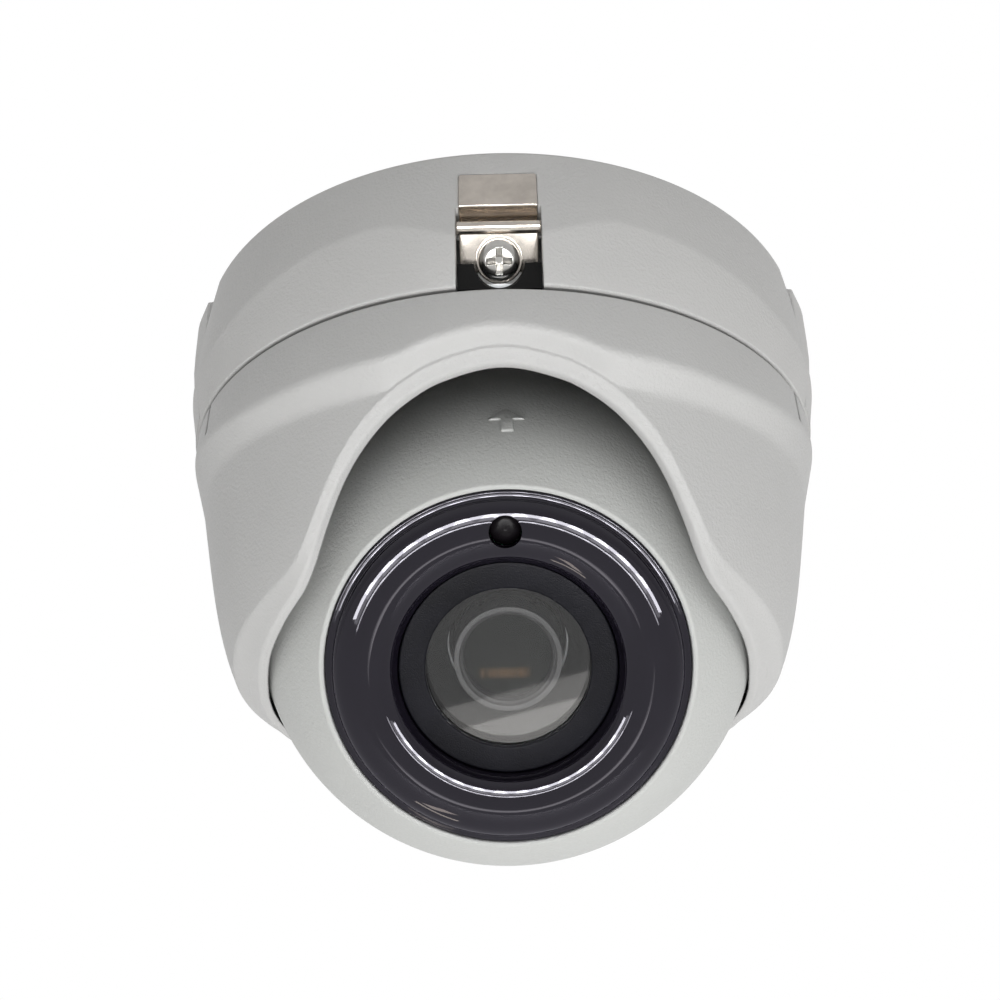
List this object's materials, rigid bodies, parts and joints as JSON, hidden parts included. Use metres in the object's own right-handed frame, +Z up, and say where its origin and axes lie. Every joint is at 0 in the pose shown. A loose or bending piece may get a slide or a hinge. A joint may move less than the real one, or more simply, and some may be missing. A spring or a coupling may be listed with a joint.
{
  "type": "turret dome security camera",
  "caption": "Ceiling turret camera: round base with a screw latch, a hooded trim ring that pans, and a ball that tilts and rolls, with lens, infrared window and light sensor.",
  "frame": {"origin": "centre of the base's ceiling face", "axes": "+Z points up into the ceiling, -Y is the side of the latch and the lens, +X is to the right seen from the front (looking along +Y)"},
  "size_m": [0.1138, 0.1118, 0.095],
  "materials": {
    "base_paint": "powder coat, fine texture",
    "trim_paint": "powder coat, fine texture",
    "ball_paint": "powder coat, fine texture",
    "nickel": "satin nickel plate",
    "screw_steel": "bright zinc plate",
    "zinc_steel": "zinc plated sheet",
    "brass": "turned",
    "cast_aluminium": "as cast",
    "rubber": "matte",
    "black_plastic": "moulded matte",
    "collar_black": "fine rough black",
    "barrel_black": "black anodised",
    "nylon": "natural nylon",
    "window_plastic": "polished dark tinted plastic",
    "clear_glass": "polished, coated",
    "lens_glass": "polished, violet coating",
    "filter_glass": "polished",
    "circuit_board": "solder resist",
    "led_resin": "clear resin over a lead frame",
    "dark_resin": "dark resin",
    "sensor_die": "polished silicon under glass",
    "chip_black": "moulded epoxy",
    "polyimide": "flexible film"
  },
  "bodies": {
    "base": {"mounting_base": "base_paint", "ceiling_gasket": "rubber", "cable_grommet": "rubber", "latch_clasp": "nickel", "latch_block": "black_plastic", "latch_insert": "brass"},
    "latch_slide": {"latch_washer": "nickel"},
    "latch_turn": {"latch_screw": "screw_steel"},
    "turret": {"trim_ring": "trim_paint", "pan_ring": "zinc_steel", "pan_ring_screws": "screw_steel", "pivot_bracket_left": "zinc_steel", "pivot_bracket_right": "zinc_steel", "bracket_screws": "screw_steel", "pivot_pins": "screw_steel", "pivot_washers": "nylon", "ball_seat_ring": "rubber"},
    "cradle": {"tilt_yoke": "zinc_steel", "neck_bush": "nylon"},
    "ball": {"ball_front_shell": "ball_paint", "ball_rear_shell": "ball_paint", "ball_o_ring": "rubber", "shell_screws": "screw_steel", "ir_window": "window_plastic", "window_seal": "rubber", "lens_collar": "collar_black", "cover_glass": "clear_glass", "glass_retainer": "black_plastic", "module_bracket": "cast_aluminium", "module_screws": "screw_steel", "ir_board": "circuit_board", "ir_board_screws": "screw_steel", "ir_leds": "led_resin", "light_sensor": "dark_resin", "lens_barrel": "barrel_black", "front_lens": "lens_glass", "rear_lens": "lens_glass", "ir_cut_filter": "filter_glass", "lens_lock_ring": "black_plastic", "lens_holder": "black_plastic", "image_sensor": "sensor_die", "sensor_board": "circuit_board", "sensor_standoffs": "brass", "sensor_board_screws": "screw_steel", "main_board": "circuit_board", "main_board_screws": "screw_steel", "main_chips": "chip_black", "board_connectors": "nylon", "ribbon_cable": "polyimide", "cable_gland": "rubber", "gland_nut": "brass", "neck_clip": "screw_steel"}
  },
  "joints": [
    {"name": "pan", "type": "hinge", "parent": "base", "child": "turret", "pos_m": [0, 0, 0], "axis": [0, 0, 1], "continuous": true},
    {"name": "tilt", "type": "hinge", "parent": "turret", "child": "cradle", "pos_m": [0, 0, -0.053], "axis": [1, 0, 0], "range_deg": [-25, 50]},
    {"name": "roll", "type": "hinge", "parent": "cradle", "child": "ball", "pos_m": [0, 0, -0.053], "axis": [0, -0.766, -0.6428], "continuous": true},
    {"name": "latch_screw_slide", "type": "slide", "parent": "base", "child": "latch_slide", "axis": [0, -0.7071, -0.7071], "range_m": [0, 0.0015]},
    {"name": "latch_screw_turn", "type": "hinge", "parent": "latch_slide", "child": "latch_turn", "pos_m": [0, -0.05135, -0.01805], "axis": [0, -0.7071, -0.7071], "range_deg": [0, 1080]}
  ],
  "couplings": [
    {"joint": "latch_screw_turn", "follows": "latch_screw_slide", "rad_per_m": 12566}
  ]
}
